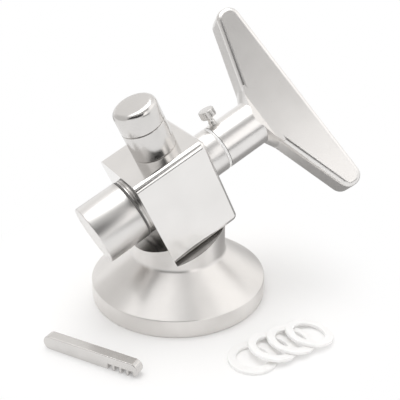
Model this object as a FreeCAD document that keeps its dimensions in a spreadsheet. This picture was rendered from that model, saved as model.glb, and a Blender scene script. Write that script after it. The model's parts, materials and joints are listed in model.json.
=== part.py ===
# Hand-cranked bone mill: a tilted milling block on a round turned stand, all stainless steel.
# Millimetres, +Z up, origin at the centre of the stand's foot, +X towards the crank handle.
# Pieces of the head are drawn in the head's own frame: X along the crank shaft, Y to the back,
# Z along the feed, with the origin on the shaft axis at the middle of the block.
import FreeCAD
import Part
import Sketcher
import os
import re

DRIVING_SIZES = {
    # stand
    "foot_diameter": 90.0,
    "rim_height": 9.3,
    "cone_rise": 15.0,
    "neck_diameter": 48.4,
    "neck_fillet": 2.5,
    "rim_edge": 0.8,
    # how the head sits on the stand
    "head_tilt": 24.0,
    "seat_offset": 6.4,
    "seat_height": 35.3,
    "seat_step": 9.4,
    "bolt_grip": 20.0,
    "bolt_diameter": 6.0,
    "bolt_thread": 11.0,
    "bolt_head": 10.0,
    "bolt_socket": 5.0,
    "bolt_washer_diameter": 12.0,
    "bolt_washer_thickness": 1.6,
    "dowel_diameter": 4.0,
    "dowel_length": 12.0,
    "dowel_spacing": 24.0,
    # block
    "block_width": 40.0,
    "block_depth": 40.0,
    "block_height": 50.0,
    "block_round": 3.4,
    "block_corner": 2.8,
    "shaft_rise": 29.0,
    "drum_bore": 17.4,
    # feed and plunger
    "feed_shift": 2.2,
    "feed_bore": 14.5,
    "tube_diameter": 22.0,
    "tube_height": 14.4,
    "tube_thread": 18.0,
    "tube_depth": 7.0,
    "tube_edge": 0.6,
    "cap_height": 11.6,
    "cap_round": 3.2,
    "stud_diameter": 8.0,
    "stud_length": 6.0,
    # cup
    "cup_diameter": 30.6,
    "cup_length": 22.0,
    "cup_wall": 1.15,
    "cup_end": 1.5,
    "cup_edge": 0.6,
    "spigot_wall": 0.9,
    "spigot_reach": 6.0,
    "spigot_depth": 5.0,
    "spigot_flange": 1.2,
    "seal_thickness": 1.0,
    # crank shaft and its bearing
    "sleeve_diameter": 23.5,
    "sleeve_length": 10.2,
    "sleeve_depth": 6.5,
    "bush_diameter": 15.0,
    "bush_flange": 1.2,
    "bush_lip": 1.4,
    "inner_bush_length": 8.0,
    "outer_bush_length": 7.0,
    "shaft_diameter": 12.0,
    "shaft_reach": 50.0,
    "collar_diameter": 16.6,
    "collar_width": 1.5,
    "ring_diameter": 23.2,
    "ring_bore": 15.2,
    "ring_thickness": 1.6,
    # milling drum and comb
    "drum_core": 10.9,
    "drum_tip": 16.4,
    "drum_seat": 7.0,
    "drum_left": 8.6,
    "row_shift": 1.2,
    "row_pitch": 3.6,
    "row_width": 1.8,
    "tooth_land": 5.0,
    "tooth_back": 30.0,
    "key_width": 2.5,
    "key_height": 2.0,
    "key_length": 9.0,
    "screw_diameter": 4.0,
    "screw_length": 10.0,
    "screw_head": 7.2,
    "screw_head_height": 2.8,
    "drum_washer_diameter": 10.0,
    "drum_washer_thickness": 1.2,
    "comb_length": 51.0,
    "comb_thickness": 5.0,
    "comb_clearance": 0.12,
    "comb_gap": 0.4,
    "notch_width": 2.4,
    "notch_depth": 2.9,
    "comb_tip": 3.6,
    # handle
    "hub_diameter": 23.5,
    "handle_angle": 49.0,
    "wing_span": 112.0,
    "wing_far": 82.6,
    "wing_tip": 11.5,
    "wing_root": 52.6,
    "wing_thickness": 16.5,
    "wing_corner": 6.0,
    "wing_edge": 3.0,
    "flare_diameter": 38.0,
    "flare_depth": 4.6,
    "ramp_start": 52.7,
    "ramp_length": 4.6,
    # thumb screw
    "thumb_place": 35.4,
    "thumb_lean": 13.0,
    "thumb_diameter": 4.0,
    "thumb_head": 8.2,
    "thumb_head_height": 4.2,
    "thumb_stem": 4.2,
    "thumb_neck": 3.2,
    "groove_depth": 0.8,
    "groove_width": 4.6,
    # loose spares beside the stand
    "spare_bar_gap": 34.6,
    "spare_bar_side": 13.4,
    "spare_bar_turn": -57.4,
    "spare_ring_front": 25.5,
    "spare_ring_side": -0.4,
    "spare_ring_step": 10.7,
    # fits
    "running_fit": 0.04,
    "push_fit": 0.05,
    "press_gap": 0.02,
    "face_gap": 0.1,
}

ROW_COUNT = 4
TEETH_PER_ROW = 8
SPARE_RINGS = 4

doc = FreeCAD.newDocument("bone_mill")
sheet = doc.addObject("Spreadsheet::Sheet", "sizes")
for row, (alias, value) in enumerate(DRIVING_SIZES.items(), start=1):
    sheet.set(f"A{row}", alias)
    sheet.set(f"B{row}", str(value))
    sheet.setAlias(f"B{row}", alias)
doc.recompute()

parts = []


def formula(text):
    """Turn size names in a text into references to the sheet's cells."""
    return re.sub(r"\b[a-z]+(?:_[a-z]+)+\b", lambda word: "sizes." + word.group(), text)


def number(text):
    """Value of a formula with the sheet's present sizes."""
    return float(sheet.evalExpression(formula(text)))


def bind(target, field, text):
    target.setExpression(field, formula(text))


def place(target, x="0", y="0", z="0", axis="1; 0; 0", angle="0", frame="head.Placement * "):
    bind(target, "Placement", f"{frame}placement(vector({x}; {y}; {z}); rotation(vector({axis}); {angle}))")


def finish(target, label):
    """Name a finished piece and list it for export."""
    target.Label = label
    parts.append(target)
    return target


def origin_plane(body, role):
    return next(item for item in body.Origin.OriginFeatures if item.Role == role)


def new_sketch(body, role, name):
    sketch = body.newObject("Sketcher::SketchObject", name)
    sketch.AttachmentSupport = [(origin_plane(body, role), "")]
    sketch.MapMode = "FlatFace"
    return sketch


def outline(sketch, corners):
    """Closed polygon whose corners are pairs of formulas."""
    points = [FreeCAD.Vector(number(across), number(up), 0) for across, up in corners]
    first = sketch.GeometryCount
    count = len(points)
    for index, point in enumerate(points):
        sketch.addGeometry(Part.LineSegment(point, points[(index + 1) % count]))
    for index in range(count):
        following = first + (index + 1) % count
        sketch.addConstraint(Sketcher.Constraint("Coincident", first + index, 2, following, 1))
    for index, (across, up) in enumerate(corners):
        for kind, text, own_axis in (("DistanceX", across, -2), ("DistanceY", up, -1)):
            line = first + index
            if text == "0":
                sketch.addConstraint(Sketcher.Constraint("PointOnObject", line, 1, own_axis))
            else:
                rule = Sketcher.Constraint(kind, -1, 1, line, 1, number(text))
                place_of_rule = sketch.addConstraint(rule)
                bind(sketch, f"Constraints[{place_of_rule}]", text)


def new_body(name):
    return doc.addObject("PartDesign::Body", name)


def revolve(body, corners, axis, kind="PartDesign::Revolution"):
    """Turn an outline drawn in the XZ plane about the sketch's horizontal or vertical axis."""
    sketch = new_sketch(body, "XZ_Plane", body.Name + "_profile")
    outline(sketch, corners)
    doc.recompute()
    turned = body.newObject(kind, body.Name + "_turned")
    turned.Profile = sketch
    turned.ReferenceAxis = (sketch, [axis])
    turned.Angle = 360
    doc.recompute()
    return turned


def turned_on_shaft(label, corners):
    """Piece turned about the head's X axis, corners given as (along, radius)."""
    body = new_body(label + "_body")
    revolve(body, corners, "H_Axis")
    return body


def turned_on_feed(label, corners):
    """Piece turned about its own Z axis, corners given as (radius, height)."""
    body = new_body(label + "_body")
    revolve(body, corners, "V_Axis")
    return body


def soften(body, size, test, kind="PartDesign::Fillet"):
    """Fillet or chamfer those edges of the body's last feature that pass the test."""
    base = body.Tip
    names = [f"Edge{place}" for place, edge in enumerate(base.Shape.Edges, start=1) if test(edge)]
    feature = body.newObject(kind, body.Name + "_edges")
    feature.Base = (base, names)
    bind(feature, "Radius" if kind.endswith("Fillet") else "Size", size)
    doc.recompute()
    return feature


def circle_at(radius, level, axis):
    """Test for a full circular edge of a radius at a level along an axis."""
    wanted_radius = number(radius)
    wanted_level = number(level)

    def test(edge):
        if not isinstance(edge.Curve, Part.Circle):
            return False
        centre = getattr(edge.Curve.Center, axis)
        return abs(edge.Curve.Radius - wanted_radius) < 1e-4 and abs(centre - wanted_level) < 1e-4

    return test


def cylinder(name, radius, length, **where):
    tool = doc.addObject("Part::Cylinder", name)
    bind(tool, "Radius", radius)
    bind(tool, "Height", length)
    place(tool, **where)
    return tool


def box(name, length, width, height, **where):
    tool = doc.addObject("Part::Box", name)
    bind(tool, "Length", length)
    bind(tool, "Width", width)
    bind(tool, "Height", height)
    place(tool, **where)
    return tool


def cut(name, base, tools):
    """Take several tools out of a base piece."""
    joined = tools[0]
    if len(tools) > 1:
        joined = doc.addObject("Part::MultiFuse", name + "_tools")
        joined.Shapes = tools
    result = doc.addObject("Part::Cut", name)
    result.Base = base
    result.Tool = joined
    doc.recompute()
    return result


# The head's frame: on the shaft axis above the seat, tilted about Y
head = doc.addObject("App::Placement", "head")
bind(
    head,
    "Placement",
    "placement(vector(seat_offset - shaft_rise * sin(head_tilt); 0;"
    " seat_height + shaft_rise * cos(head_tilt)); rotation(vector(0; 1; 0); -head_tilt))",
)
doc.recompute()

BLOCK_LEFT = "(-block_width / 2)"
BLOCK_RIGHT = "(block_width / 2)"
BLOCK_BOTTOM = "(-shaft_rise)"
BLOCK_TOP = "(block_height - shaft_rise)"
BOLT_SEAT = "(-shaft_rise - bolt_grip)"
ALONG_X = {"axis": "0; 1; 0", "angle": "90"}
ROW_MIDDLE = "(feed_shift - row_shift)"
SPIGOT_OUT = "(cup_diameter / 2 - cup_wall - push_fit)"
SPIGOT_IN = f"({SPIGOT_OUT} - spigot_wall)"
# the comb bar stands on edge in the room between the drum and the inside of the cup's spigot
COMB_FRONT = "(drum_core / 2 + comb_gap)"
COMB_BACK = f"(sqrt({SPIGOT_IN} * {SPIGOT_IN} - comb_thickness * comb_thickness / 4) - comb_clearance)"
COMB_HEIGHT = f"({COMB_BACK} - {COMB_FRONT})"


def make_stand():
    neck_foot = "(rim_height + cone_rise)"
    neck_top = "(seat_height + shaft_rise)"
    body = turned_on_feed(
        "stand",
        [
            ("0", "0"),
            ("foot_diameter / 2", "0"),
            ("foot_diameter / 2", "rim_height"),
            ("neck_diameter / 2", neck_foot),
            ("neck_diameter / 2", neck_top),
            ("0", neck_top),
        ],
    )
    soften(body, "neck_fillet", circle_at("neck_diameter / 2", neck_foot, "z"))
    soften(body, "rim_edge", circle_at("foot_diameter / 2", "rim_height", "z"))
    soften(body, "rim_edge / 2", circle_at("foot_diameter / 2", "0", "z"), "PartDesign::Chamfer")

    # the seat is open to the right, its step wall stands at the block's left face
    span = "(4 * neck_diameter)"
    seat = box("seat_cut", span, span, span, x=BLOCK_LEFT, y="-2 * neck_diameter", z=BLOCK_BOTTOM)
    ledge = box(
        "ledge_cut", span, span, span,
        x=f"{BLOCK_LEFT} - 3 * neck_diameter", y="-2 * neck_diameter", z=f"{BLOCK_BOTTOM} + seat_step",
    )
    hole = cylinder("bolt_hole", "bolt_diameter / 2 + face_gap", "bolt_grip + 2", z=BOLT_SEAT)
    recess = cylinder(
        "bolt_recess", "bolt_washer_diameter / 2 + face_gap", span, z=f"{BOLT_SEAT} - 4 * neck_diameter",
    )
    dowels = [
        cylinder(
            f"stand_dowel_hole_{side}", "dowel_diameter / 2 + press_gap", "dowel_length",
            x=f"{sign} * dowel_spacing / 2", z=f"{BLOCK_BOTTOM} - dowel_length / 2",
        )
        for side, sign in (("left", "-1"), ("right", "1"))
    ]
    finish(cut("stand_base", body, [seat, ledge, hole, recess] + dowels), "stand_base")


def make_bolt():
    body = turned_on_feed(
        "stand_bolt",
        [
            ("0", "bolt_grip + bolt_thread"),
            ("bolt_diameter / 2", "bolt_grip + bolt_thread"),
            ("bolt_diameter / 2", "-bolt_washer_thickness"),
            ("bolt_head / 2", "-bolt_washer_thickness"),
            ("bolt_head / 2", "-bolt_washer_thickness - bolt_diameter"),
            ("0", "-bolt_washer_thickness - bolt_diameter"),
        ],
    )
    place(body, z=BOLT_SEAT)
    socket = doc.addObject("Part::Prism", "bolt_hexagon")
    socket.Polygon = 6
    bind(socket, "Circumradius", "bolt_socket / 2 / cos(30)")
    bind(socket, "Height", "bolt_diameter / 2")
    place(socket, z=f"{BOLT_SEAT} - bolt_washer_thickness - bolt_diameter")
    finish(cut("stand_bolt", body, [socket]), "stand_bolt")

    washer = turned_on_feed(
        "bolt_washer",
        [
            ("bolt_diameter / 2 + face_gap", "-bolt_washer_thickness"),
            ("bolt_washer_diameter / 2", "-bolt_washer_thickness"),
            ("bolt_washer_diameter / 2", "0"),
            ("bolt_diameter / 2 + face_gap", "0"),
        ],
    )
    place(washer, z=BOLT_SEAT)
    finish(washer, "bolt_washer")


def make_dowels():
    pins = [
        cylinder(
            f"dowel_{side}", "dowel_diameter / 2", "dowel_length - 2 * face_gap",
            x=f"{sign} * dowel_spacing / 2", z=f"{BLOCK_BOTTOM} - dowel_length / 2 + face_gap",
        )
        for side, sign in (("left", "-1"), ("right", "1"))
    ]
    group = doc.addObject("Part::Compound", "seat_dowels")
    group.Links = pins
    finish(group, "seat_dowels")


def make_block():
    body = new_body("block_body")
    sketch = new_sketch(body, "XY_Plane", "block_plan")
    outline(
        sketch,
        [
            (BLOCK_LEFT, "-block_depth / 2"),
            (BLOCK_RIGHT, "-block_depth / 2"),
            (BLOCK_RIGHT, "block_depth / 2"),
            (BLOCK_LEFT, "block_depth / 2"),
        ],
    )
    bind(sketch, "AttachmentOffset.Base.z", BLOCK_BOTTOM)
    doc.recompute()
    pad = body.newObject("PartDesign::Pad", "block_pad")
    pad.Profile = sketch
    bind(pad, "Length", "block_height")
    doc.recompute()
    top = number(BLOCK_TOP)
    right = number(BLOCK_RIGHT)

    def along(edge, axis):
        return abs(abs(getattr(edge.tangentAt(edge.FirstParameter), axis)) - 1) < 1e-6

    def right_end(edge):
        return along(edge, "y") and abs(edge.CenterOfMass.x - right) < 1e-4

    def top_side(edge):
        return along(edge, "x") and abs(edge.CenterOfMass.z - top) < 1e-4

    soften(body, "block_corner", right_end)
    soften(body, "block_round", top_side)
    place(body)

    bore = cylinder("drum_bore_cut", "drum_bore / 2", "block_width + 2", x=f"{BLOCK_LEFT} - 1", **ALONG_X)
    counterbore = cylinder(
        "spigot_cut", f"{SPIGOT_OUT} + press_gap", "spigot_depth + 1",
        x=f"{BLOCK_LEFT} - 1", **ALONG_X,
    )
    comb_end = f"({comb_tip_x()} + face_gap)"
    slot = box(
        "comb_slot", f"{comb_end} - {BLOCK_LEFT} + 1", f"{COMB_BACK} + face_gap",
        "comb_thickness + 2 * press_gap", x=f"{BLOCK_LEFT} - 1", z="-comb_thickness / 2 - press_gap",
    )
    thread = cylinder(
        "tube_hole", "tube_thread / 2 + press_gap", "tube_depth + 1", x="feed_shift", z=f"{BLOCK_TOP} - tube_depth",
    )
    feed = cylinder("feed_hole", "feed_bore / 2", BLOCK_TOP, x="feed_shift")
    bolt = cylinder("block_bolt_hole", "bolt_diameter / 2 + press_gap", "bolt_thread + 1", z=BLOCK_BOTTOM)
    dowels = [
        cylinder(
            f"block_dowel_hole_{side}", "dowel_diameter / 2 + press_gap", "dowel_length",
            x=f"{sign} * dowel_spacing / 2", z=f"{BLOCK_BOTTOM} - dowel_length / 2",
        )
        for side, sign in (("left", "-1"), ("right", "1"))
    ]
    finish(cut("mill_block", body, [bore, counterbore, slot, thread, feed, bolt] + dowels), "mill_block")


def make_feed_tube():
    tube_top = f"({BLOCK_TOP} + tube_height)"
    body = turned_on_feed(
        "feed_tube",
        [
            ("feed_bore / 2", f"{BLOCK_TOP} - tube_depth"),
            ("tube_thread / 2", f"{BLOCK_TOP} - tube_depth"),
            ("tube_thread / 2", BLOCK_TOP),
            ("tube_diameter / 2 - tube_edge", BLOCK_TOP),
            ("tube_diameter / 2", f"{BLOCK_TOP} + tube_edge"),
            ("tube_diameter / 2", f"{tube_top} - tube_edge / 2"),
            ("tube_diameter / 2 - tube_edge / 2", tube_top),
            ("feed_bore / 2", tube_top),
        ],
    )
    place(body, x="feed_shift")
    finish(body, "feed_tube")


def make_plunger():
    cap_foot = f"({BLOCK_TOP} + tube_height + face_gap)"
    cap_top = f"({cap_foot} + cap_height)"
    hole_depth = "(stud_length + face_gap)"
    cap = turned_on_feed(
        "plunger_cap",
        [
            ("0", f"{cap_foot} + {hole_depth}"),
            ("stud_diameter / 2 + press_gap", f"{cap_foot} + {hole_depth}"),
            ("stud_diameter / 2 + press_gap", cap_foot),
            ("tube_diameter / 2 - tube_edge", cap_foot),
            ("tube_diameter / 2", f"{cap_foot} + tube_edge"),
            ("tube_diameter / 2", cap_top),
            ("0", cap_top),
        ],
    )
    soften(cap, "cap_round", circle_at("tube_diameter / 2", cap_top, "z"))
    place(cap, x="feed_shift")
    finish(cap, "plunger_cap")

    rod = turned_on_feed(
        "plunger_rod",
        [
            ("0", f"{cap_foot} + stud_length"),
            ("stud_diameter / 2", f"{cap_foot} + stud_length"),
            ("stud_diameter / 2", cap_foot),
            ("feed_bore / 2 - running_fit", cap_foot),
            ("feed_bore / 2 - running_fit", "drum_core / 4"),
            ("0", "drum_core / 4"),
        ],
    )
    place(rod, x="feed_shift")
    # the rod's end is hollowed to the drum's round
    hollow = cylinder("rod_hollow", "drum_bore / 2", "block_width", x=BLOCK_LEFT, **ALONG_X)
    finish(cut("plunger_rod", rod, [hollow]), "plunger_rod")


def make_cup():
    flange = f"({BLOCK_LEFT} - spigot_flange)"
    flange_rim = "(cup_diameter / 2 - cup_edge / 2)"
    spigot = turned_on_shaft(
        "cup_spigot",
        [
            (f"{BLOCK_LEFT} + spigot_depth", SPIGOT_IN),
            (f"{BLOCK_LEFT} + spigot_depth", SPIGOT_OUT),
            (BLOCK_LEFT, SPIGOT_OUT),
            (BLOCK_LEFT, flange_rim),
            (flange, flange_rim),
            (flange, SPIGOT_OUT),
            (f"{flange} - seal_thickness - spigot_reach", SPIGOT_OUT),
            (f"{flange} - seal_thickness - spigot_reach", SPIGOT_IN),
        ],
    )
    place(spigot)
    finish(spigot, "cup_spigot")

    seal = turned_on_shaft(
        "cup_seal",
        [
            (flange, f"{SPIGOT_OUT} + press_gap"),
            (flange, "cup_diameter / 2 - cup_edge / 4"),
            (f"{flange} - seal_thickness", "cup_diameter / 2 - cup_edge / 4"),
            (f"{flange} - seal_thickness", f"{SPIGOT_OUT} + press_gap"),
        ],
    )
    place(seal)
    finish(seal, "cup_seal")

    mouth = f"({flange} - seal_thickness - face_gap)"
    end = f"({mouth} - cup_length)"
    cup = turned_on_shaft(
        "collecting_cup",
        [
            (mouth, "cup_diameter / 2 - cup_wall"),
            (mouth, "cup_diameter / 2 - cup_edge / 2"),
            (f"{mouth} - cup_edge / 2", "cup_diameter / 2"),
            (f"{end} + cup_edge", "cup_diameter / 2"),
            (end, "cup_diameter / 2 - cup_edge"),
            (end, "0"),
            (f"{end} + cup_end", "0"),
            (f"{end} + cup_end", "cup_diameter / 2 - cup_wall"),
        ],
    )
    place(cup)
    finish(cup, "collecting_cup")


def make_bearing():
    sleeve_end = f"({BLOCK_RIGHT} + sleeve_length)"
    inner = f"({BLOCK_RIGHT} - sleeve_depth)"
    body = turned_on_shaft(
        "bearing_sleeve",
        [
            (inner, "bush_diameter / 2"),
            (inner, "drum_bore / 2 - press_gap"),
            (BLOCK_RIGHT, "drum_bore / 2 - press_gap"),
            (BLOCK_RIGHT, "sleeve_diameter / 2"),
            (sleeve_end, "sleeve_diameter / 2"),
            (sleeve_end, "bush_diameter / 2"),
        ],
    )
    place(body)
    finish(body, "bearing_sleeve")

    bush_out = "(bush_diameter / 2 - press_gap)"
    bush_in = "(shaft_diameter / 2 + running_fit)"
    inner_bush = turned_on_shaft(
        "inner_bush",
        [
            (f"{inner} - bush_flange", bush_in),
            (f"{inner} - bush_flange", "collar_diameter / 2"),
            (inner, "collar_diameter / 2"),
            (inner, bush_out),
            (f"{inner} + inner_bush_length", bush_out),
            (f"{inner} + inner_bush_length", bush_in),
        ],
    )
    place(inner_bush)
    finish(inner_bush, "inner_bush")

    outer_bush = turned_on_shaft(
        "outer_bush",
        [
            (f"{sleeve_end} - outer_bush_length", bush_in),
            (f"{sleeve_end} - outer_bush_length", bush_out),
            (f"{sleeve_end} + bush_lip", bush_out),
            (f"{sleeve_end} + bush_lip", bush_in),
        ],
    )
    place(outer_bush)
    finish(outer_bush, "outer_bush")

    washer = turned_on_shaft(
        "hub_washer",
        [
            (sleeve_end, "ring_bore / 2"),
            (sleeve_end, "ring_diameter / 2"),
            (f"{sleeve_end} + ring_thickness", "ring_diameter / 2"),
            (f"{sleeve_end} + ring_thickness", "ring_bore / 2"),
        ],
    )
    place(washer)
    finish(washer, "hub_washer")


def collar_left():
    """Left face of the shaft's collar, which the drum is clamped against."""
    return f"({BLOCK_RIGHT} - sleeve_depth - bush_flange - face_gap - collar_width)"


def comb_tip_x():
    """Right end of the comb bar, just past the last row of teeth."""
    return f"({ROW_MIDDLE} + {(ROW_COUNT - 1) / 2} * row_pitch + comb_tip)"


def make_shaft():
    drum_left = "(feed_shift - drum_left)"
    collar = collar_left()
    body = turned_on_shaft(
        "drum_shaft",
        [
            (f"{drum_left} + face_gap", "0"),
            (f"{drum_left} + face_gap", "drum_seat / 2"),
            (collar, "drum_seat / 2"),
            (collar, "collar_diameter / 2"),
            (f"{collar} + collar_width", "collar_diameter / 2"),
            (f"{collar} + collar_width", "shaft_diameter / 2"),
            ("thumb_place - groove_width / 2", "shaft_diameter / 2"),
            ("thumb_place - groove_width / 2", "shaft_diameter / 2 - groove_depth"),
            ("thumb_place + groove_width / 2", "shaft_diameter / 2 - groove_depth"),
            ("thumb_place + groove_width / 2", "shaft_diameter / 2"),
            ("shaft_reach", "shaft_diameter / 2"),
            ("shaft_reach", "0"),
        ],
    )
    place(body)
    key_seat = box(
        "shaft_key_seat", "key_length + 2 * press_gap", "key_width + 2 * press_gap", "key_height",
        x=f"{collar} - key_length - 1 - press_gap", y="-key_width / 2 - press_gap",
        z="drum_seat / 2 - key_height / 2 - press_gap",
    )
    tapping = cylinder(
        "shaft_tapping", "screw_diameter / 2 + press_gap", "screw_length + 1", x=drum_left, **ALONG_X,
    )
    finish(cut("drum_shaft", body, [key_seat, tapping]), "drum_shaft")

    key = box(
        "drum_key", "key_length", "key_width", "key_height",
        x=f"{collar} - key_length - 1", y="-key_width / 2", z="drum_seat / 2 - key_height / 2",
    )
    finish(key, "drum_key")

    washer_left = f"({drum_left} - drum_washer_thickness)"
    washer = turned_on_shaft(
        "drum_washer",
        [
            (drum_left, "screw_diameter / 2 + face_gap"),
            (drum_left, "drum_washer_diameter / 2"),
            (washer_left, "drum_washer_diameter / 2"),
            (washer_left, "screw_diameter / 2 + face_gap"),
        ],
    )
    place(washer)
    finish(washer, "drum_washer")

    screw = turned_on_shaft(
        "drum_screw",
        [
            (f"{drum_left} + screw_length", "0"),
            (f"{drum_left} + screw_length", "screw_diameter / 2"),
            (washer_left, "screw_diameter / 2"),
            (washer_left, "screw_head / 2"),
            (f"{washer_left} - screw_head_height / 2", "screw_head / 2"),
            (f"{washer_left} - screw_head_height", "screw_head / 3"),
            (f"{washer_left} - screw_head_height", "0"),
        ],
    )
    place(screw)
    finish(screw, "drum_screw")


def make_drum():
    """Core with staggered rows of saw teeth; the rows pass through the comb's notches."""
    body = turned_on_shaft(
        "milling_drum",
        [
            ("feed_shift - drum_left", "drum_seat / 2 + press_gap"),
            ("feed_shift - drum_left", "drum_core / 2"),
            (collar_left(), "drum_core / 2"),
            (collar_left(), "drum_seat / 2 + press_gap"),
        ],
    )
    root = "(drum_core / 2 - 0.3)"
    for row in range(ROW_COUNT):
        start = f"({row} * 360 / {TEETH_PER_ROW * ROW_COUNT})"
        sketch = new_sketch(body, "YZ_Plane", f"tooth_{row}")
        outline(
            sketch,
            [
                (f"{radius} * cos({start} + {turn})", f"{radius} * sin({start} + {turn})")
                for radius, turn in (
                    (root, "90"),
                    ("(drum_tip / 2)", "90"),
                    ("(drum_tip / 2)", "(90 + tooth_land)"),
                    (root, "(90 + tooth_back)"),
                )
            ],
        )
        row_left = f"{ROW_MIDDLE} + ({row} - {(ROW_COUNT - 1) / 2}) * row_pitch - row_width / 2"
        bind(sketch, "AttachmentOffset.Base.z", row_left)
        doc.recompute()
        tooth = body.newObject("PartDesign::Pad", f"tooth_pad_{row}")
        tooth.Profile = sketch
        bind(tooth, "Length", "row_width")
        doc.recompute()
        pattern = body.newObject("PartDesign::PolarPattern", f"tooth_row_{row}")
        pattern.Originals = [tooth]
        pattern.Axis = (origin_plane(body, "X_Axis"), [""])
        pattern.Angle = 360
        pattern.Occurrences = TEETH_PER_ROW
        body.Tip = pattern
        doc.recompute()
    place(body)
    keyway = box(
        "drum_keyway", "key_length + 2", "key_width + 2 * press_gap", "key_height",
        x=f"{collar_left()} - key_length - 1.5", y="-key_width / 2 - press_gap",
        z="drum_seat / 2 - key_height / 2 + press_gap",
    )
    finish(cut("milling_drum", body, [keyway]), "milling_drum")


def make_comb(label):
    """Bar on edge with round ends, notched from below near its tip at X = 0; its length runs back from there."""
    body = new_body(label + "_body")
    sketch = new_sketch(body, "XZ_Plane", label + "_side")
    half = f"{COMB_HEIGHT} / 2"
    left = f"(-comb_length + {half})"
    right = f"(-{half})"
    radius = number(half)
    left_centre = FreeCAD.Vector(number(left), 0, 0)
    right_centre = FreeCAD.Vector(number(right), 0, 0)
    up = FreeCAD.Vector(0, radius, 0)
    axis = FreeCAD.Vector(0, 0, 1)
    quarter = FreeCAD.Units.Quantity("90 deg").getValueAs("rad").Value
    sketch.addGeometry(Part.LineSegment(left_centre - up, right_centre - up))
    sketch.addGeometry(Part.ArcOfCircle(Part.Circle(right_centre, axis, radius), -quarter, quarter))
    sketch.addGeometry(Part.LineSegment(right_centre + up, left_centre + up))
    sketch.addGeometry(Part.ArcOfCircle(Part.Circle(left_centre, axis, radius), quarter, 3 * quarter))
    for first, first_end, second, second_end in ((0, 2, 1, 1), (1, 2, 2, 1), (2, 2, 3, 1), (3, 2, 0, 1)):
        sketch.addConstraint(Sketcher.Constraint("Tangent", first, first_end, second, second_end))
    for arc, centre in ((1, right), (3, left)):
        sketch.addConstraint(Sketcher.Constraint("PointOnObject", arc, 3, -1))
        rule = sketch.addConstraint(Sketcher.Constraint("DistanceX", -1, 1, arc, 3, number(centre)))
        bind(sketch, f"Constraints[{rule}]", centre)
    rule = sketch.addConstraint(Sketcher.Constraint("Radius", 1, radius))
    bind(sketch, f"Constraints[{rule}]", half)
    doc.recompute()
    pad = body.newObject("PartDesign::Pad", label + "_pad")
    pad.Profile = sketch
    pad.Reversed = True
    bind(pad, "Length", "comb_thickness")
    doc.recompute()
    whole = pad.Shape.Volume

    notch = new_sketch(body, "XZ_Plane", label + "_notch")
    outline(
        notch,
        [
            ("-comb_tip - notch_width / 2", f"-{half} - 0.5"),
            ("-comb_tip + notch_width / 2", f"-{half} - 0.5"),
            ("-comb_tip + notch_width / 2", f"-{half} + notch_depth"),
            ("-comb_tip - notch_width / 2", f"-{half} + notch_depth"),
        ],
    )
    doc.recompute()
    pocket = body.newObject("PartDesign::Pocket", label + "_pocket")
    pocket.Profile = notch
    pocket.Type = "ThroughAll"
    pocket.Midplane = True
    doc.recompute()
    pattern = body.newObject("PartDesign::LinearPattern", label + "_notches")
    pattern.Originals = [pocket]
    pattern.Direction = (origin_plane(body, "X_Axis"), [""])
    pattern.Reversed = True
    pattern.Occurrences = ROW_COUNT
    bind(pattern, "Length", f"{ROW_COUNT - 1} * row_pitch")
    body.Tip = pattern
    doc.recompute()
    if not whole - body.Shape.Volume > number(f"{ROW_COUNT - 1} * notch_width * notch_depth * comb_thickness / 2"):
        raise ValueError("the comb has lost its notches")
    return finish(body, label)


def make_handle():
    """Cross wing milled from one piece with its hub; both flats run out on the hub by a slope."""
    body = new_body("handle_body")
    plan = new_sketch(body, "XY_Plane", "wing_plan")
    half_span = "wing_span / 2"
    tip_near = "(wing_far - wing_tip)"
    outline(
        plan,
        [
            ("wing_far", f"-{half_span}"),
            ("wing_far", half_span),
            (tip_near, half_span),
            ("wing_root", "0"),
            (tip_near, f"-{half_span}"),
        ],
    )
    doc.recompute()
    pad = body.newObject("PartDesign::Pad", "wing_pad")
    pad.Profile = plan
    bind(pad, "Length", "wing_thickness")
    pad.Midplane = True
    doc.recompute()
    span = number(half_span)
    level = number("wing_thickness / 2")

    def tip_corner(edge):
        upright = abs(abs(edge.tangentAt(edge.FirstParameter).z) - 1) < 1e-6
        return upright and abs(abs(edge.CenterOfMass.y) - span) < 1e-4

    def face_edge(edge):
        return abs(abs(edge.CenterOfMass.z) - level) < 1e-4

    soften(body, "wing_corner", tip_corner)
    soften(body, "wing_edge", face_edge)

    hub_left = f"({BLOCK_RIGHT} + sleeve_length + ring_thickness + face_gap)"
    bore_end = "(shaft_reach + face_gap)"
    bore = "(shaft_diameter / 2 + press_gap)"
    flare_far = "(ramp_start + ramp_length + 2)"
    revolve(
        body,
        [
            (hub_left, bore),
            (hub_left, "hub_diameter / 2"),
            (f"{flare_far} - flare_depth", "hub_diameter / 2"),
            (flare_far, "flare_diameter / 2"),
            (f"{flare_far} + 1", "flare_diameter / 2"),
            (f"{flare_far} + 1", "0"),
            (bore_end, "0"),
            (bore_end, bore),
        ],
        "H_Axis",
    )
    for side, sign in (("front", "1"), ("back", "-1")):
        sketch = new_sketch(body, "XZ_Plane", f"flat_{side}")
        outline(
            sketch,
            [
                ("ramp_start", f"{sign} * hub_diameter / 2"),
                ("ramp_start + ramp_length", f"{sign} * wing_thickness / 2"),
                ("wing_far", f"{sign} * wing_thickness / 2"),
                ("wing_far", f"{sign} * flare_diameter"),
                ("ramp_start", f"{sign} * flare_diameter"),
            ],
        )
        doc.recompute()
        flat = body.newObject("PartDesign::Pocket", f"flat_{side}_cut")
        flat.Profile = sketch
        flat.Type = "ThroughAll"
        flat.Midplane = True
        doc.recompute()
    place(body, angle="handle_angle")
    hole = cylinder(
        "thumb_hole", "thumb_diameter / 2 + running_fit", "hub_diameter",
        x="thumb_place", angle="-thumb_lean",
    )
    finish(cut("wing_handle", body, [hole]), "wing_handle")


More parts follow.
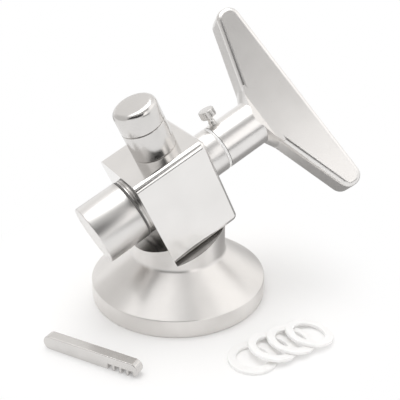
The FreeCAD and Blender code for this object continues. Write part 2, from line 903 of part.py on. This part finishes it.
def make_thumb_screw():
    tip = "(shaft_diameter / 2 - groove_depth + face_gap)"
    head_foot = "(hub_diameter / 2 + thumb_stem)"
    body = turned_on_feed(
        "thumb_screw",
        [
            ("0", tip),
            ("thumb_diameter / 2 - 0.6", tip),
            ("thumb_diameter / 2", f"{tip} + 0.6"),
            ("thumb_diameter / 2", f"{head_foot} - thumb_stem / 2"),
            ("thumb_neck / 2", f"{head_foot} - thumb_stem / 3"),
            ("thumb_neck / 2", head_foot),
            ("thumb_head / 2 - 0.4", head_foot),
            ("thumb_head / 2", f"{head_foot} + 0.4"),
            ("thumb_head / 2", f"{head_foot} + thumb_head_height - 0.4"),
            ("thumb_head / 2 - 0.4", f"{head_foot} + thumb_head_height"),
            ("0", f"{head_foot} + thumb_head_height"),
        ],
    )
    place(body, x="thumb_place", angle="-thumb_lean")
    finish(body, "thumb_screw")


def make_spares():
    """Spare comb bar and sealing rings that lie on the table in front of the stand."""
    on_table = ""
    bar = make_comb("spare_comb")
    place(
        bar, x="-foot_diameter / 2 - spare_bar_gap + comb_length * cos(spare_bar_turn)",
        y="-spare_bar_side + comb_length * sin(spare_bar_turn)",
        z=f"{COMB_HEIGHT} / 2", axis="0; 0; 1", angle="spare_bar_turn", frame=on_table,
    )
    radius = "ring_diameter / 2"
    lean = "asin((ring_thickness + face_gap) / spare_ring_step)"
    for index in range(SPARE_RINGS):
        body = turned_on_feed(
            f"spare_ring_{index + 1}",
            [
                ("ring_bore / 2", "0"),
                (radius, "0"),
                (radius, "ring_thickness"),
                ("ring_bore / 2", "ring_thickness"),
            ],
        )
        # each ring after the first leans on the one before it and touches the table at its right edge
        tilt = lean if index else "0"
        right_edge = f"spare_ring_side + {index} * spare_ring_step + {radius}"
        place(
            body, x=f"{right_edge} - {radius} * cos({tilt})", y="-foot_diameter / 2 - spare_ring_front",
            z=f"{radius} * sin({tilt})", axis="0; 1; 0", angle=tilt, frame=on_table,
        )
        finish(body, f"spare_ring_{index + 1}")


make_stand()
make_bolt()
make_dowels()
make_block()
make_feed_tube()
make_plunger()
make_cup()
make_bearing()
make_shaft()
make_drum()
blade = make_comb("comb_blade")
place(blade, x=comb_tip_x(), y=f"({COMB_FRONT} + {COMB_BACK}) / 2", z="comb_thickness / 2", angle="-90")
make_handle()
make_thumb_screw()
make_spares()
doc.recompute()

for item in doc.Objects:
    if "Invalid" in item.State or "Error" in item.State:
        raise RuntimeError(f"{item.Label} did not build: {item.State}")
for piece in parts:
    if piece.Shape.isNull() or not piece.Shape.isValid():
        raise RuntimeError(f"{piece.Label} has no valid shape")

os.makedirs("parts", exist_ok=True)
for piece in parts:
    piece.Shape.exportStep(f"parts/{piece.Label}.step")
    print(f"{piece.Label}: {piece.Shape.Volume / 1000:.2f} cm3, {len(piece.Shape.Solids)} solid(s)")
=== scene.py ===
import json
import math

import bmesh
import bpy
from mathutils import Matrix, Vector


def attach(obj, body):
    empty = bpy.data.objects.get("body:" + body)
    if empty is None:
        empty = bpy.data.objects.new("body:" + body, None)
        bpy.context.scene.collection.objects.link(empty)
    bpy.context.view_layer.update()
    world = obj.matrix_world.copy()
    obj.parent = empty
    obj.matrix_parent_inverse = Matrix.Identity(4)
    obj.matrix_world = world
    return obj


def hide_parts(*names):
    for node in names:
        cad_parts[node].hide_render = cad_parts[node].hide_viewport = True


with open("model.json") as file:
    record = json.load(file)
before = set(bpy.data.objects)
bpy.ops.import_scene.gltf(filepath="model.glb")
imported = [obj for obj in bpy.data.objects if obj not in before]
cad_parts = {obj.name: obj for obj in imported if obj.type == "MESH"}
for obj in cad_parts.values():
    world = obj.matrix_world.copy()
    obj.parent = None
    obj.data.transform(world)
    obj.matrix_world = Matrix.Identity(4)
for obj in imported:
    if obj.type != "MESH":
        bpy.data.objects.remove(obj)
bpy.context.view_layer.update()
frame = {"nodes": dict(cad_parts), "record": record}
nodes = frame["nodes"]
slotOfNode = {part["node"]: part["material_slot"] for part in frame["record"]["subparts"]}
replacedNodes = set()
print("frame loaded:", len(nodes), "nodes")

# The head's frame: on the shaft axis above the seat, X along the shaft, Z along the feed. Sizes in mm.
mm = 0.001
toMetres = Matrix.Scale(mm, 4)
headSpec = {"tilt": 24, "seatSide": 6.4, "seatHeight": 35.3, "shaftRise": 29.0, "feedShift": 2.2}
headTilt = math.radians(headSpec["tilt"])
headOrigin = Vector((
    headSpec["seatSide"] - headSpec["shaftRise"] * math.sin(headTilt),
    0,
    headSpec["seatHeight"] + headSpec["shaftRise"] * math.cos(headTilt),
))
headPlace = Matrix.Translation(headOrigin) @ Matrix.Rotation(-headTilt, 4, "Y")
feedPlace = headPlace @ Matrix.Translation((headSpec["feedShift"], 0, 0))
shaftPlace = headPlace @ Matrix.Rotation(math.radians(90), 4, "Y")


def nodeGraph(name):
    material = bpy.data.materials.new(name)
    material.use_nodes = True
    tree = material.node_tree
    return material, tree, tree.nodes["Principled BSDF"]


def addNode(tree, kind, **fields):
    node = tree.nodes.new(kind)
    for field, value in fields.items():
        setattr(node, field, value)
    return node


def headCoordinates(tree, scale):
    # Object coordinates turned into the head's frame, then stretched
    source = addNode(tree, "ShaderNodeTexCoord")
    turned = addNode(tree, "ShaderNodeMapping")
    inverse = headPlace.to_3x3().inverted()
    turned.inputs["Rotation"].default_value = inverse.to_euler()
    turned.inputs["Location"].default_value = -(inverse @ (headOrigin * mm))
    stretched = addNode(tree, "ShaderNodeMapping")
    stretched.inputs["Scale"].default_value = scale
    tree.links.new(source.outputs["Object"], turned.inputs["Vector"])
    tree.links.new(turned.outputs["Vector"], stretched.inputs["Vector"])
    return turned.outputs["Vector"], stretched.outputs["Vector"]


def ringCoordinates(tree, vector, along, scale):
    # Distance from an axis and place along it, so that a texture runs in rings round the axis
    split = addNode(tree, "ShaderNodeSeparateXYZ")
    tree.links.new(vector, split.inputs["Vector"])
    across = [axis for axis in "XYZ" if axis != along]
    flat = addNode(tree, "ShaderNodeCombineXYZ")
    for place, axis in zip("XY", across):
        tree.links.new(split.outputs[axis], flat.inputs[place])
    reach = addNode(tree, "ShaderNodeVectorMath", operation="LENGTH")
    tree.links.new(flat.outputs["Vector"], reach.inputs[0])
    rings = addNode(tree, "ShaderNodeCombineXYZ")
    tree.links.new(reach.outputs["Value"], rings.inputs["X"])
    tree.links.new(split.outputs[along], rings.inputs["Y"])
    sized = addNode(tree, "ShaderNodeMapping")
    sized.inputs["Scale"].default_value = (scale, scale, scale)
    tree.links.new(rings.outputs["Vector"], sized.inputs["Vector"])
    return sized.outputs["Vector"]


def noise(tree, vector, scale, detail):
    texture = addNode(tree, "ShaderNodeTexNoise")
    texture.inputs["Scale"].default_value = scale
    texture.inputs["Detail"].default_value = detail
    tree.links.new(vector, texture.inputs["Vector"])
    return texture.outputs["Fac"]


def tinted(tree, shader, pattern, colours, stops=(0, 1)):
    ramp = addNode(tree, "ShaderNodeValToRGB")
    for element, stop, colour in zip(ramp.color_ramp.elements, stops, colours):
        element.position = stop
        element.color = (*colour, 1)
    tree.links.new(pattern, ramp.inputs["Fac"])
    tree.links.new(ramp.outputs["Color"], shader.inputs["Base Color"])


def marked(tree, shader, pattern, strength, depth):
    marks = addNode(tree, "ShaderNodeBump")
    marks.inputs["Strength"].default_value = strength
    marks.inputs["Distance"].default_value = depth
    tree.links.new(pattern, marks.inputs["Height"])
    tree.links.new(marks.outputs["Normal"], shader.inputs["Normal"])


steelGrain = {
    "fine": (4.0, 6.0), "cloudy": (60.0, 3.0), "stops": (0.3, 0.7), "depth": 0.00002, "acrossGrain": 0.25,
}


def steel(name, look):
    material, tree, shader = nodeGraph(name)
    shader.inputs["Metallic"].default_value = 1.0
    plain, grain = headCoordinates(tree, look.get("stretch", (1, 1, 1)))
    if look["grain"] == "rings":
        source = plain
        if look["axis"] == "Z":
            source = addNode(tree, "ShaderNodeTexCoord").outputs["Object"]
        grain = ringCoordinates(tree, source, look["axis"], look["fineness"])
    fine = noise(tree, grain, *steelGrain["fine"])
    cloudy = noise(tree, plain, *steelGrain["cloudy"])
    tinted(tree, shader, cloudy, look["colours"], steelGrain["stops"])
    gloss = addNode(tree, "ShaderNodeMapRange")
    gloss.inputs["To Min"].default_value, gloss.inputs["To Max"].default_value = look["roughness"]
    tree.links.new(fine, gloss.inputs["Value"])
    tree.links.new(gloss.outputs["Result"], shader.inputs["Roughness"])
    marked(tree, shader, fine, look["bump"], steelGrain["depth"])
    if "anisotropy" in look:
        shader.inputs["Anisotropic"].default_value = look["anisotropy"]
        shader.inputs["Anisotropic Rotation"].default_value = steelGrain["acrossGrain"]
        direction = addNode(tree, "ShaderNodeTangent", direction_type="RADIAL", axis=look["axis"])
        tree.links.new(direction.outputs["Tangent"], shader.inputs["Tangent"])
    return material


plasticGrain = {"cloudy": (350.0, 4.0), "bump": 0.15, "depth": 0.00005, "glowReach": 0.002, "glowScale": 0.6}


def plastic(name, look):
    material, tree, shader = nodeGraph(name)
    shader.inputs["Roughness"].default_value = look["roughness"]
    shader.inputs["Subsurface Weight"].default_value = look["glow"]
    shader.inputs["Subsurface Radius"].default_value = (plasticGrain["glowReach"],) * 3
    shader.inputs["Subsurface Scale"].default_value = plasticGrain["glowScale"]
    source = addNode(tree, "ShaderNodeTexCoord").outputs["Object"]
    cloudy = noise(tree, source, *plasticGrain["cloudy"])
    tinted(tree, shader, cloudy, look["colours"])
    marked(tree, shader, cloudy, plasticGrain["bump"], plasticGrain["depth"])
    return material


finishes = {
    "satin_steel": steel("satinSteel", {
        "grain": "lines", "stretch": (120, 1600, 1600), "roughness": (0.25, 0.34), "bump": 0.04,
        "colours": ((0.79, 0.775, 0.76), (0.84, 0.825, 0.81)),
    }),
    "turned_steel": steel("turnedSteel", {
        "grain": "rings", "axis": "Z", "fineness": 1100, "roughness": (0.28, 0.4), "bump": 0.1,
        "colours": ((0.77, 0.75, 0.73), (0.83, 0.81, 0.79)), "anisotropy": 0.8,
    }),
    "polished_steel": steel("polishedSteel", {
        "grain": "rings", "axis": "X", "fineness": 900, "roughness": (0.2, 0.28), "bump": 0.04,
        "colours": ((0.68, 0.665, 0.65), (0.73, 0.715, 0.70)),
    }),
    "tool_steel": steel("toolSteel", {
        "grain": "lines", "stretch": (900, 100, 900), "roughness": (0.18, 0.3), "bump": 0.15,
        "colours": ((0.64, 0.625, 0.61), (0.72, 0.705, 0.69)),
    }),
    "fastener_steel": steel("fastenerSteel", {
        "grain": "rings", "axis": "Z", "fineness": 1200, "roughness": (0.25, 0.4), "bump": 0.12,
        "colours": ((0.5, 0.49, 0.48), (0.58, 0.57, 0.56)),
    }),
    "ring_plastic": plastic("ringPlastic", {
        "roughness": 0.35, "glow": 0.6, "colours": ((0.93, 0.915, 0.895), (0.97, 0.96, 0.945)),
    }),
    "bush_plastic": plastic("bushPlastic", {
        "roughness": 0.5, "glow": 0.1, "colours": ((0.78, 0.77, 0.73), (0.86, 0.85, 0.81)),
    }),
    "seal_silicone": plastic("sealSilicone", {
        "roughness": 0.55, "glow": 0.05, "colours": ((0.16, 0.155, 0.15), (0.22, 0.215, 0.21)),
    }),
}
# pieces whose finish differs from the one of their slot; the milled steel's dark colour is painted shade
feedSteel = steel("feedSteel", {
    "grain": "rings", "axis": "Z", "fineness": 900, "roughness": (0.18, 0.25), "bump": 0.04,
    "colours": ((0.68, 0.665, 0.65), (0.73, 0.715, 0.70)),
})
blockSteel = steel("blockSteel", {
    "grain": "lines", "stretch": (150, 1800, 1800), "roughness": (0.11, 0.16), "bump": 0.02,
    "colours": ((0.80, 0.785, 0.77), (0.84, 0.825, 0.81)),
})
cupSteel = steel("cupSteel", {
    "grain": "rings", "axis": "X", "fineness": 900, "roughness": (0.3, 0.38), "bump": 0.05,
    "colours": ((0.77, 0.755, 0.74), (0.82, 0.805, 0.79)),
})
# Milled grain with a dark colour that is painted shade, standing in for the shade in the gap under the cup
milledSteelPaintedShade = steel("milledSteelPaintedShade", {
    "grain": "lines", "stretch": (1500, 150, 1500), "roughness": (0.16, 0.26), "bump": 0.08,
    "colours": ((0.41, 0.4, 0.39), (0.47, 0.46, 0.45)),
})
print("materials made:", len(finishes) + 4)


def finishedMesh(work, name):
    mesh = bpy.data.meshes.new(name)
    work.to_mesh(mesh)
    work.free()
    return mesh


def addPiece(name, mesh, body, replaced, material=None):
    piece = bpy.data.objects.new(name, mesh)
    bpy.context.scene.collection.objects.link(piece)
    slotName = slotOfNode[replaced]
    mesh.materials.clear()
    mesh.materials.append(material or finishes[slotName])
    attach(piece, body)
    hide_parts(replaced)
    replacedNodes.add(replaced)
    return piece


def smoothMesh(work, name, sharpAngle=30):
    for face in work.faces:
        face.smooth = True
    for edge in work.edges:
        edge.smooth = edge.calc_face_angle(0) < math.radians(sharpAngle)
    return finishedMesh(work, name)


def outlineWire(corners, arcSteps=5):
    # A wire round the half section through (radius, height, rounding), open along the axis
    work = bmesh.new()
    points = [work.verts.new((reach, 0, height)) for reach, height, rounding in corners]
    for here, there in zip(points, points[1:] + points[:1]):
        if here.co.x > 0 or there.co.x > 0:
            work.edges.new((here, there))
    for point, (reach, height, rounding) in zip(points, corners):
        if rounding > 0:
            before, after = [edge.other_vert(point).co - point.co for edge in point.link_edges]
            cutBack = rounding / math.tan(before.angle(after) / 2)
            bmesh.ops.bevel(
                work, geom=[point], offset=cutBack, offset_type="OFFSET", segments=arcSteps,
                profile=0.5, material=-1, affect="VERTICES",
            )
    return work


def turnedMesh(name, corners, place, segments=128, cutHead=None):
    # The outline spun about Z; cutHead may work on the turned shape before it is placed
    work = outlineWire(corners)
    bmesh.ops.spin(
        work, geom=work.verts[:] + work.edges[:], cent=(0, 0, 0), axis=(0, 0, 1), angle=2 * math.pi,
        steps=segments, use_merge=True,
    )
    bmesh.ops.remove_doubles(work, verts=work.verts, dist=1e-4)
    bmesh.ops.recalc_face_normals(work, faces=work.faces)
    if cutHead:
        cutHead(work)
    bmesh.ops.transform(work, matrix=toMetres @ place, verts=work.verts)
    return smoothMesh(work, name)


def turnedPiece(name, spec):
    # On the shaft the corners are (along the shaft, radius, rounding)
    place = spec.get("place", shaftPlace)
    corners = spec["outline"]
    if place is shaftPlace:
        corners = [(reach, along, rounding) for along, reach, rounding in corners]
    mesh = turnedMesh(name, corners, place, spec.get("segments", 128), spec.get("cutHead"))
    return addPiece(name, mesh, spec["body"], spec["replaces"], spec.get("material"))


def boxMesh(low, high, place):
    low, high = Vector(low), Vector(high)
    stretched = Matrix.Translation((low + high) / 2) @ Matrix.Diagonal((*(high - low), 1))
    work = bmesh.new()
    bmesh.ops.create_cube(work, size=1.0, matrix=toMetres @ place @ stretched)
    return finishedMesh(work, "cutter")


def carvedMesh(name, mesh, cutters):
    base = bpy.data.objects.new("carveBase", mesh)
    bpy.context.scene.collection.objects.link(base)
    tools = []
    for cutter in cutters:
        tool = bpy.data.objects.new("carveTool", cutter)
        bpy.context.scene.collection.objects.link(tool)
        tools.append(tool)
        cut = base.modifiers.new("cut", "BOOLEAN")
        cut.operation = "DIFFERENCE"
        cut.solver = "EXACT"
        cut.object = tool
    graph = bpy.context.evaluated_depsgraph_get()
    result = bpy.data.meshes.new_from_object(base.evaluated_get(graph))
    for item in [base] + tools:
        bpy.data.objects.remove(item)
    work = bmesh.new()
    work.from_mesh(result)
    bmesh.ops.remove_doubles(work, verts=work.verts, dist=1e-6)
    return smoothMesh(work, name)


def softEdges(piece, width, segments=2, angle=35):
    bevel = piece.modifiers.new("softEdges", "BEVEL")
    bevel.width = width * mm
    bevel.segments = segments
    bevel.limit_method = "ANGLE"
    bevel.angle_limit = math.radians(angle)
    bevel.use_clamp_overlap = True
    level = piece.modifiers.new("flatFaces", "WEIGHTED_NORMAL")
    level.weight = 100
    level.keep_sharp = True


def dressedPiece(name, nodeName, body, bevelWidth, material=None):
    # The solid's own shape with clean smooth shading and softened edges
    work = bmesh.new()
    work.from_mesh(nodes[nodeName].data)
    bmesh.ops.remove_doubles(work, verts=work.verts, dist=2e-6)
    bmesh.ops.dissolve_limit(work, angle_limit=math.radians(0.4), verts=work.verts, edges=work.edges)
    mesh = smoothMesh(work, name)
    custom = mesh.attributes.get("custom_normal")
    if custom:
        mesh.attributes.remove(custom)
    piece = addPiece(name, mesh, body, nodeName, material)
    softEdges(piece, bevelWidth)
    return piece


standSpec = {
    "outline": [
        (0, 0, 0), (45, 0, 0.5), (45, 9.3, 0.8), (24.2, 24.3, 2.5), (24.2, 64, 0), (0, 64, 0),
    ],
    "segments": 192,
    "seat": ((-20, -100, -29), (100, 100, 100)),
    "cupRoom": ((-120, -100, -19.6), (-19.9, 100, 100)),
    "recess": [(0, -160, 0), (6.1, -160, 0), (6.1, -49, 0), (0, -49, 0)],
    "recessSegments": 64,
    "planeSlack": 0.01,
}
standLathe = turnedMesh("standLathe", standSpec["outline"], Matrix.Identity(4), standSpec["segments"])
standMesh = carvedMesh("standBody", standLathe, [
    boxMesh(*standSpec["seat"], headPlace),
    boxMesh(*standSpec["cupRoom"], headPlace),
    turnedMesh("recess", standSpec["recess"], headPlace, standSpec["recessSegments"]),
])
standBody = addPiece("standBody", standMesh, "stand", "stand_base")
# the second slot holds the dark milled steel, painted shade for the gap under the cup
standBody.data.materials.append(milledSteelPaintedShade)
toHead = headPlace.inverted() @ toMetres.inverted()
(seatEnd, _, seatLevel), (_, _, roomLevel) = standSpec["seat"][0], standSpec["cupRoom"][0]
for face in standBody.data.polygons:
    # the seat and the room for the cup are milled, the rest is turned; the milled faces take the dark steel,
    # painted shade for the gap under the cup
    corners = [toHead @ standBody.data.vertices[corner].co for corner in face.vertices]
    if any(
        all(abs(corner[axis] - plane) < standSpec["planeSlack"] for corner in corners)
        for axis, plane in ((0, seatEnd), (2, seatLevel), (2, roomLevel))
    ):
        face.material_index = 1
dressedPiece("millBlock", "mill_block", "stand", 0.25, blockSteel)
print("stand and block made")

turnedPiece("feedTube", {
    "outline": [
        (7.25, 14, 0), (9, 14, 0), (9, 21, 0), (11, 21, 0.6), (11, 35.4, 0.35), (7.25, 35.4, 0.3),
    ],
    "place": feedPlace, "body": "stand", "replaces": "feed_tube", "material": feedSteel,
})
turnedPiece("plungerCap", {
    "outline": [
        (0, 41.6, 0), (4.02, 41.6, 0), (4.02, 35.5, 0), (11, 35.5, 0.6), (11, 47.1, 3.2), (0, 47.1, 0),
    ],
    "place": feedPlace, "body": "plunger", "replaces": "plunger_cap", "material": feedSteel,
})
dressedPiece("plungerRod", "plunger_rod", "plunger", 0.2, feedSteel)

turnedPiece("collectingCup", {
    "outline": [
        (-22.3, 14.15, 0.2), (-22.3, 15.3, 0.3), (-44.3, 15.3, 0.6), (-44.3, 0, 0), (-42.8, 0, 0),
        (-42.8, 14.15, 0.8),
    ],
    "body": "cup", "replaces": "collecting_cup", "segments": 160, "material": cupSteel,
})
turnedPiece("cupSpigot", {
    "outline": [
        (-15, 13.2, 0), (-15, 14.1, 0), (-20, 14.1, 0), (-20, 15, 0.15), (-21.2, 15, 0.15),
        (-21.2, 14.1, 0), (-28.2, 14.1, 0.25), (-28.2, 13.2, 0.2),
    ],
    "body": "stand", "replaces": "cup_spigot", "segments": 160,
})
turnedPiece("cupSeal", {
    "outline": [(-21.22, 14.14, 0.2), (-21.22, 15.1, 0.4), (-22.18, 15.1, 0.4), (-22.18, 14.14, 0.2)],
    "body": "stand", "replaces": "cup_seal",
})
print("feed, plunger and cup made")

turnedPiece("bearingSleeve", {
    "outline": [
        (13.5, 7.5, 0), (13.5, 8.68, 0), (20, 8.68, 0), (20, 11.75, 0.3), (30.2, 11.75, 0.3), (30.2, 7.5, 0.2),
    ],
    "body": "stand", "replaces": "bearing_sleeve", "material": cupSteel,
})
turnedPiece("hubWasher", {
    "outline": [(30.22, 7.6, 0.1), (30.22, 11.6, 0.3), (31.78, 11.6, 0.3), (31.78, 7.6, 0.1)],
    "body": "stand", "replaces": "hub_washer",
})
dressedPiece("wingHandle", "wing_handle", "crank", 0.3)

thumbSpec = {
    "along": 35.4, "lean": -13, "knurls": 30, "knurlDepth": 0.16, "knurlFrom": 3.9, "head": (16.2, 19.9),
    "threadRadius": 2.0, "threadStart": 8.2, "threadTurns": 8, "threadPitch": 0.7, "threadDepth": 0.28,
}
knurlSteps = 4  # segments of the turned head for one knurl, half of them cut


def knurlHead(work):
    low, high = thumbSpec["head"]
    segments = knurlSteps * thumbSpec["knurls"]
    for point in work.verts:
        reach = point.co.xy.length
        if reach > thumbSpec["knurlFrom"] and low <= point.co.z <= high:
            step = round(math.atan2(point.co.y, point.co.x) / (2 * math.pi) * segments)
            if step % knurlSteps in (0, 3):
                point.co.xy *= 1 - thumbSpec["knurlDepth"] / reach


threadCorners = []
for turn in range(thumbSpec["threadTurns"]):
    crest = thumbSpec["threadStart"] + turn * thumbSpec["threadPitch"]
    threadCorners.append((thumbSpec["threadRadius"], crest, 0))
    root = thumbSpec["threadRadius"] - thumbSpec["threadDepth"]
    threadCorners.append((root, crest + thumbSpec["threadPitch"] / 2, 0))
turnedPiece("thumbScrew", {
    "outline": [
        (0, 5.3, 0), (1.4, 5.3, 0), (2.0, 5.9, 0), *threadCorners, (1.6, 14.2, 0.15), (1.6, 15.95, 0.2),
        (3.7, 15.95, 0.1), (4.1, 16.35, 0.15), (4.1, 19.75, 0.15), (3.7, 20.15, 0.2), (0, 20.15, 0),
    ],
    "place": headPlace @ Matrix.Translation((thumbSpec["along"], 0, 0))
    @ Matrix.Rotation(math.radians(thumbSpec["lean"]), 4, "X"),
    "body": "thumb", "replaces": "thumb_screw", "segments": knurlSteps * thumbSpec["knurls"],
    "cutHead": knurlHead, "material": feedSteel,
})
print("bearing, handle and thumb screw made")

dressedPiece("combBlade", "comb_blade", "stand", 0.2)
dressedPiece("spareComb", "spare_comb", "stand", 0.25)
ringSpec = {
    "count": 4, "radius": 11.6, "bore": 7.6, "thickness": 1.6, "step": 10.7, "side": -0.4, "front": -70.5,
    "gap": 0.1, "lowRounding": 0.25, "topRounding": 0.4,
}
radius, bore, thick = ringSpec["radius"], ringSpec["bore"], ringSpec["thickness"]
ringOutline = [
    (bore, 0, ringSpec["lowRounding"]), (radius, 0, ringSpec["lowRounding"]),
    (radius, thick, ringSpec["topRounding"]), (bore, thick, ringSpec["topRounding"]),
]
ringLean = math.asin((thick + ringSpec["gap"]) / ringSpec["step"])
for index in range(ringSpec["count"]):
    lean = ringLean if index else 0  # the first ring lies flat and each next one leans on the last
    centre = Vector((
        ringSpec["side"] + index * ringSpec["step"] + radius * (1 - math.cos(lean)),
        ringSpec["front"],
        radius * math.sin(lean),
    ))
    turnedPiece(f"spareRing{index + 1}", {
        "outline": ringOutline,
        "place": Matrix.Translation(centre) @ Matrix.Rotation(lean, 4, "Y"),
        "body": "stand", "replaces": f"spare_ring_{index + 1}",
    })

for name, node in nodes.items():
    if name not in replacedNodes:
        node.data.materials.clear()
        node.data.materials.append(finishes[slotOfNode[name]])
print("loose spares made, inner pieces finished")


def rayKinds(tree):
    # 1 for rays that the camera, a mirror or clear plastic sends straight to the backdrop
    paths = addNode(tree, "ShaderNodeLightPath")
    total = paths.outputs["Is Camera Ray"]
    for kind in ("Is Glossy Ray", "Is Transmission Ray"):
        either = addNode(tree, "ShaderNodeMath", operation="MAXIMUM")
        tree.links.new(total, either.inputs[0])
        tree.links.new(paths.outputs[kind], either.inputs[1])
        total = either.outputs["Value"]
    return total


def addStage(name, mesh, material):
    mesh.materials.append(material)
    piece = bpy.data.objects.new(name, mesh)
    bpy.context.scene.collection.objects.link(piece)
    return piece


def flatSheet(sides, depths, height):
    # One face lying level, from its ranges along X and Y
    middle = Vector((sum(sides) / 2, sum(depths) / 2, height))
    stretched = Matrix.Diagonal((sides[1] - sides[0], depths[1] - depths[0], 1, 1))
    work = bmesh.new()
    bmesh.ops.create_grid(
        work, x_segments=1, y_segments=1, size=0.5, matrix=Matrix.Translation(middle) @ stretched,
    )
    return work


floorSpec = {"half": 6.0, "drop": 0.00005, "colour": (0.96, 0.955, 0.95), "fade": (0.056, 0.12)}
floorLook, floorTree, floorShader = nodeGraph("floorLook")
floorShader.inputs["Base Color"].default_value = (*floorSpec["colour"], 1)
floorShader.inputs["Roughness"].default_value = 1.0
floorShader.inputs["Specular IOR Level"].default_value = 0
# further out the floor runs into the white backdrop
floorPlace = addNode(floorTree, "ShaderNodeTexCoord")
floorReach = addNode(floorTree, "ShaderNodeVectorMath", operation="LENGTH")
floorTree.links.new(floorPlace.outputs["Object"], floorReach.inputs[0])
floorFade = addNode(floorTree, "ShaderNodeMapRange", interpolation_type="SMOOTHSTEP")
floorFade.inputs["From Min"].default_value, floorFade.inputs["From Max"].default_value = floorSpec["fade"]
floorTree.links.new(floorReach.outputs["Value"], floorFade.inputs["Value"])
floorSeen = addNode(floorTree, "ShaderNodeMath", operation="MULTIPLY")
floorTree.links.new(floorFade.outputs["Result"], floorSeen.inputs[0])
floorTree.links.new(rayKinds(floorTree), floorSeen.inputs[1])
floorWhite = addNode(floorTree, "ShaderNodeEmission")
floorWhite.inputs["Strength"].default_value = 1.0
floorMix = addNode(floorTree, "ShaderNodeMixShader")
floorTree.links.new(floorSeen.outputs["Value"], floorMix.inputs["Fac"])
floorTree.links.new(floorShader.outputs["BSDF"], floorMix.inputs[1])
floorTree.links.new(floorWhite.outputs["Emission"], floorMix.inputs[2])
floorTree.links.new(floorMix.outputs["Shader"], floorTree.nodes["Material Output"].inputs["Surface"])
floorSides = (-floorSpec["half"], floorSpec["half"])
floorSheet = flatSheet(floorSides, floorSides, -floorSpec["drop"])
addStage("floor", finishedMesh(floorSheet, "floor"), floorLook)


def addPanel(name, work, brightness):
    material, tree, shader = nodeGraph(name + "Look")
    shader.inputs["Base Color"].default_value = (0, 0, 0, 1)
    shader.inputs["Specular IOR Level"].default_value = 0
    shader.inputs["Emission Color"].default_value = panelSpec["colour"]
    shader.inputs["Emission Strength"].default_value = brightness
    panel = addStage(name, finishedMesh(work, name), material)
    panel.visible_camera = False
    panel.visible_diffuse = False
    panel.visible_shadow = False
    panel.visible_transmission = False


# Panels stand where a studio's walls and flags would, so that the steel has greys and darks to mirror.
# Walls give azimuths, elevations in degrees and a brightness, flags on the floor ranges along X and Y.
panelSpec = {
    "colour": (1, 0.985, 0.97, 1), "distance": 2.0, "upSteps": 6, "roundSteps": 16, "floorGap": 0.0006,
    "walls": {
        "frontFlag": ((-175, -92), (17, 48), 0.02),
        "frontGlow": ((-91, -71), (11, 49), 1.55),
        "edgeFlag": ((-92, -50), (0, 10), 0.02),
        "frontWall": ((-120, -50), (52, 70), 0.4),
        "cornerWall": ((-175, -122), (50, 74), 0.55),
        "leftWall": ((110, 185), (0, 48), 0.68),
        "backWall": ((30, 110), (20, 60), 0.88),
        "rightGlow": ((-50, 2), (28, 64), 1.3),
        "rightWall": ((4, 30), (0, 40), 1.1),
    },
    "floorFlags": {
        "floorFlag": ((0.05, 0.35), (-0.05, 0.19), 0.36),
        "backFlag": ((-0.15, 0.05), (0.2, 0.8), 0.58),
    },
}
for name, (azimuths, elevations, brightness) in panelSpec["walls"].items():
    work = bmesh.new()
    work.verts.new((panelSpec["distance"], 0, 0))
    for axis, (low, high), steps in (
        (Vector((0, -1, 0)), elevations, panelSpec["upSteps"]),
        (Vector((0, 0, 1)), azimuths, panelSpec["roundSteps"]),
    ):
        start = Matrix.Rotation(math.radians(low), 3, axis)
        bmesh.ops.rotate(work, verts=work.verts, cent=(0, 0, 0), matrix=start)
        bmesh.ops.spin(
            work, geom=work.verts[:] + work.edges[:], cent=(0, 0, 0), axis=axis,
            angle=math.radians(high - low), steps=steps,
        )
    addPanel(name, work, brightness)
for name, (sides, depths, brightness) in panelSpec["floorFlags"].items():
    addPanel(name, flatSheet(sides, depths, panelSpec["floorGap"]), brightness)

worldSpec = {"colour": (1, 0.995, 0.99, 1), "onObject": 0.82, "seen": 1.0}
world = bpy.data.worlds.new("studio")
bpy.context.scene.world = world
world.use_nodes = True
worldTree = world.node_tree
background = worldTree.nodes["Background"]
worldLevel = addNode(worldTree, "ShaderNodeMapRange")
worldLevel.inputs["To Min"].default_value = worldSpec["onObject"]
worldLevel.inputs["To Max"].default_value = worldSpec["seen"]
worldTree.links.new(rayKinds(worldTree), worldLevel.inputs["Value"])
worldTree.links.new(worldLevel.outputs["Result"], background.inputs["Strength"])
background.inputs["Color"].default_value = worldSpec["colour"]


def aimed(item, place, target):
    item.location = place
    item.rotation_euler = (Vector(target) - Vector(place)).to_track_quat("-Z", "Y").to_euler()
    bpy.context.scene.collection.objects.link(item)


lampSpec = {"place": (-0.1, 0.3, 1.3), "target": (0, 0, 0.05), "size": (1.1, 0.9), "power": 6.5}
topBox = bpy.data.lights.new("topBox", "AREA")
topBox.shape = "RECTANGLE"
topBox.size, topBox.size_y = lampSpec["size"]
topBox.energy = lampSpec["power"]
aimed(bpy.data.objects.new("topBox", topBox), lampSpec["place"], lampSpec["target"])

cameraSpec = {
    "lens": 68.5, "sensor": 36, "place": (-0.1642, -0.3, 0.2198), "target": (0.01329, 0, 0.04804),
}
cameraData = bpy.data.cameras.new("photoCamera")
cameraData.lens = cameraSpec["lens"]
cameraData.sensor_width = cameraSpec["sensor"]
camera = bpy.data.objects.new("photoCamera", cameraData)
aimed(camera, cameraSpec["place"], cameraSpec["target"])
bpy.context.scene.camera = camera
bpy.context.scene.view_settings.view_transform = "Standard"
print("stage, light and camera set")
